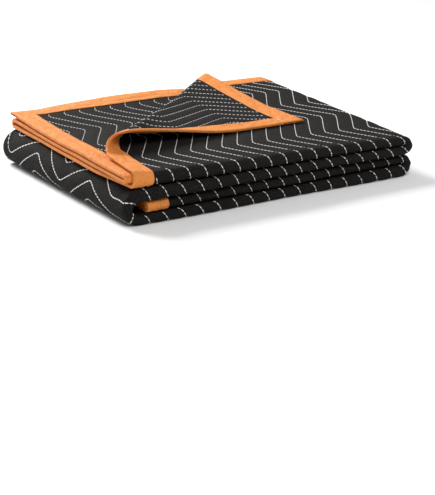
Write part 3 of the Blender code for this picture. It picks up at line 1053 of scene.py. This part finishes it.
def make_materials():
    """The cloth's, the tape's and the threads' finishes."""
    groups = {"weave": woven_group(), "mottle": mottled_group(), "puckers": creased_group()}
    cloth = {"across": 0.0009, "along": 0.0009, "uneven": 0.45, "patch": 28.0, "lint": 700.0,
             "lint_share": 0.61, "lint_strength": 0.45, "roughness": 0.80, "bump": 0.55,
             "bump_height": 0.0004, "gloss": 0.15, "pucker": 0.5, "pucker_fine": 150.0, "pucker_wide": 45.0}
    tape = {"across": 0.0013, "along": 0.0007, "uneven": 0.4, "patch": 60.0, "lint": 500.0,
            "lint_share": 0.66, "lint_strength": 0.25, "roughness": 0.60, "bump": 0.6,
            "bump_height": 0.0004, "gloss": 0.40, "pucker": 1.5, "pucker_fine": 200.0, "pucker_wide": 65.0}
    return {
        "cloth": fabric("black_quilted_cloth", (0.0020, 0.0017, 0.0015), (0.0115, 0.0100, 0.0088),
                        (0.10, 0.090, 0.080), cloth, groups),
        # The tape's dark colour is painted shade of its creases, mixed by soft patches with its lit colour;
        # partly it is the tape's own uneven tone
        "tape": fabric("orange_woven_tape", (0.50, 0.105, 0.016), (0.93, 0.35, 0.062),
                       (0.98, 0.58, 0.22), tape, groups),
        "white": thread_material("white_thread", (0.92, 0.92, 0.90), (0.70, 0.69, 0.66)),
        "orange": thread_material("orange_thread", (0.95, 0.45, 0.17), (0.74, 0.26, 0.07)),
    }


def make_camera():
    """The photograph's view of the pad."""
    azimuth, elevation, roll = (
        math.radians(angle) for angle in (CAMERA_AZIMUTH, CAMERA_ELEVATION, CAMERA_ROLL)
    )
    back = Vector((math.sin(azimuth) * math.cos(elevation), -math.cos(azimuth) * math.cos(elevation),
                   math.sin(elevation)))
    right = (-back).cross(Vector((0.0, 0.0, 1.0))).normalized()
    up = right.cross(-back)
    right, up = (right * math.cos(roll) + up * math.sin(roll), up * math.cos(roll) - right * math.sin(roll))
    turn = Matrix((right, up, back)).transposed().to_4x4()
    data = bpy.data.cameras.new("camera")
    data.sensor_fit = "HORIZONTAL"
    data.sensor_width = CAMERA_SENSOR
    data.lens = CAMERA_LENS
    data.clip_end = 50.0
    camera = bpy.data.objects.new("camera", data)
    camera.matrix_world = Matrix.Translation(CAMERA_AT) @ turn
    bpy.context.scene.collection.objects.link(camera)
    bpy.context.scene.camera = camera


def add_lamp(name, place, size, power):
    """A soft square lamp that points at the pad."""
    data = bpy.data.lights.new(name, "AREA")
    data.shape = "SQUARE"
    data.size = size
    data.energy = power
    lamp = bpy.data.objects.new(name, data)
    lamp.location = place
    lamp.rotation_euler = (Vector(AIM) - Vector(place)).to_track_quat("-Z", "Y").to_euler()
    bpy.context.scene.collection.objects.link(lamp)


def make_studio():
    """A plain pale floor, a pale surround and soft lamps."""
    mesh = bmesh.new()
    bmesh.ops.create_grid(mesh, x_segments=1, y_segments=1, size=FLOOR_HALF)
    data = bpy.data.meshes.new("floor")
    mesh.to_mesh(data)
    mesh.free()
    material, _, shader = new_material("pale_floor")
    shader.inputs["Base Color"].default_value = (0.93, 0.93, 0.93, 1.0)
    shader.inputs["Roughness"].default_value = 0.9
    data.materials.append(material)
    floor = bpy.data.objects.new("floor", data)
    bpy.context.scene.collection.objects.link(floor)
    world = bpy.data.worlds.new("surround")
    world.use_nodes = True
    sky = world.node_tree.nodes["Background"]
    sky.inputs["Color"].default_value = (1.0, 1.0, 1.0, 1.0)
    sky.inputs["Strength"].default_value = SURROUND
    bpy.context.scene.world = world
    bpy.context.scene.view_settings.view_transform = "Standard"
    for name, place, size, power in LAMPS:
        add_lamp(name, place, size, power)


def main():
    """Makes every piece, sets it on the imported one, and gives it to the frame."""
    make_camera()
    looks = make_materials()
    butt = TAPE_REACH + TAPE_GAP
    past_end = TAPE + TAPE_GAP
    down = tape_stations(DEPTH_WAY, butt, CLOTH_WIDTH - butt)
    across = tape_stations(WIDTH_WAY, -past_end, CLOTH_LENGTH + past_end)
    cloth = make_cloth(looks["cloth"])
    tapes = {
        "top_end": make_tape("tape_top_end", down, lambda i, t: (i, t), looks["tape"], 1.0),
        "inner_end": make_tape(
            "tape_inner_end", down, lambda i, t: (CLOTH_LENGTH - i, t), looks["tape"], 2.0),
        "turned_side": make_tape("tape_turned_side", across, lambda i, s: (s, i), looks["tape"], 3.0),
        "under_side": make_tape(
            "tape_under_side", across, lambda i, s: (s, CLOTH_WIDTH - i), looks["tape"], 4.0),
    }
    outer = make_thread("thread_outer_face", row_stitches(-1.0), looks["white"])
    inner = make_thread("thread_inner_face", row_stitches(1.0) + corner_stitches(), looks["white"])
    seams = [
        (butt, CLOTH_WIDTH - butt, lambda i, t: (i, t)),
        (butt, CLOTH_WIDTH - butt, lambda i, t: (CLOTH_LENGTH - i, t)),
        (SEAM_START, CLOTH_LENGTH, lambda i, s: (s, i)),
        (SEAM_START, CLOTH_LENGTH, lambda i, s: (s, CLOTH_WIDTH - i)),
    ]
    held = make_thread("thread_in_tape", tape_stitches(seams), looks["orange"])
    low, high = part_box("quilted_pad")
    points = [vert.co for vert in cloth.data.vertices]
    own_low = Vector([min(point[axis] for point in points) for axis in range(3)])
    own_high = Vector([max(point[axis] for point in points) for axis in range(3)])
    shift = (low + high - own_low - own_high) / 2
    shift.z = 0.0
    pieces = [cloth, *tapes.values(), outer, inner, held]
    for piece in pieces:
        piece.data.transform(Matrix.Translation(shift))
        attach(piece, "root")
    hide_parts("quilted_pad")
    for name, tape in tapes.items():
        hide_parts("binding_" + name)
    make_studio()


main()
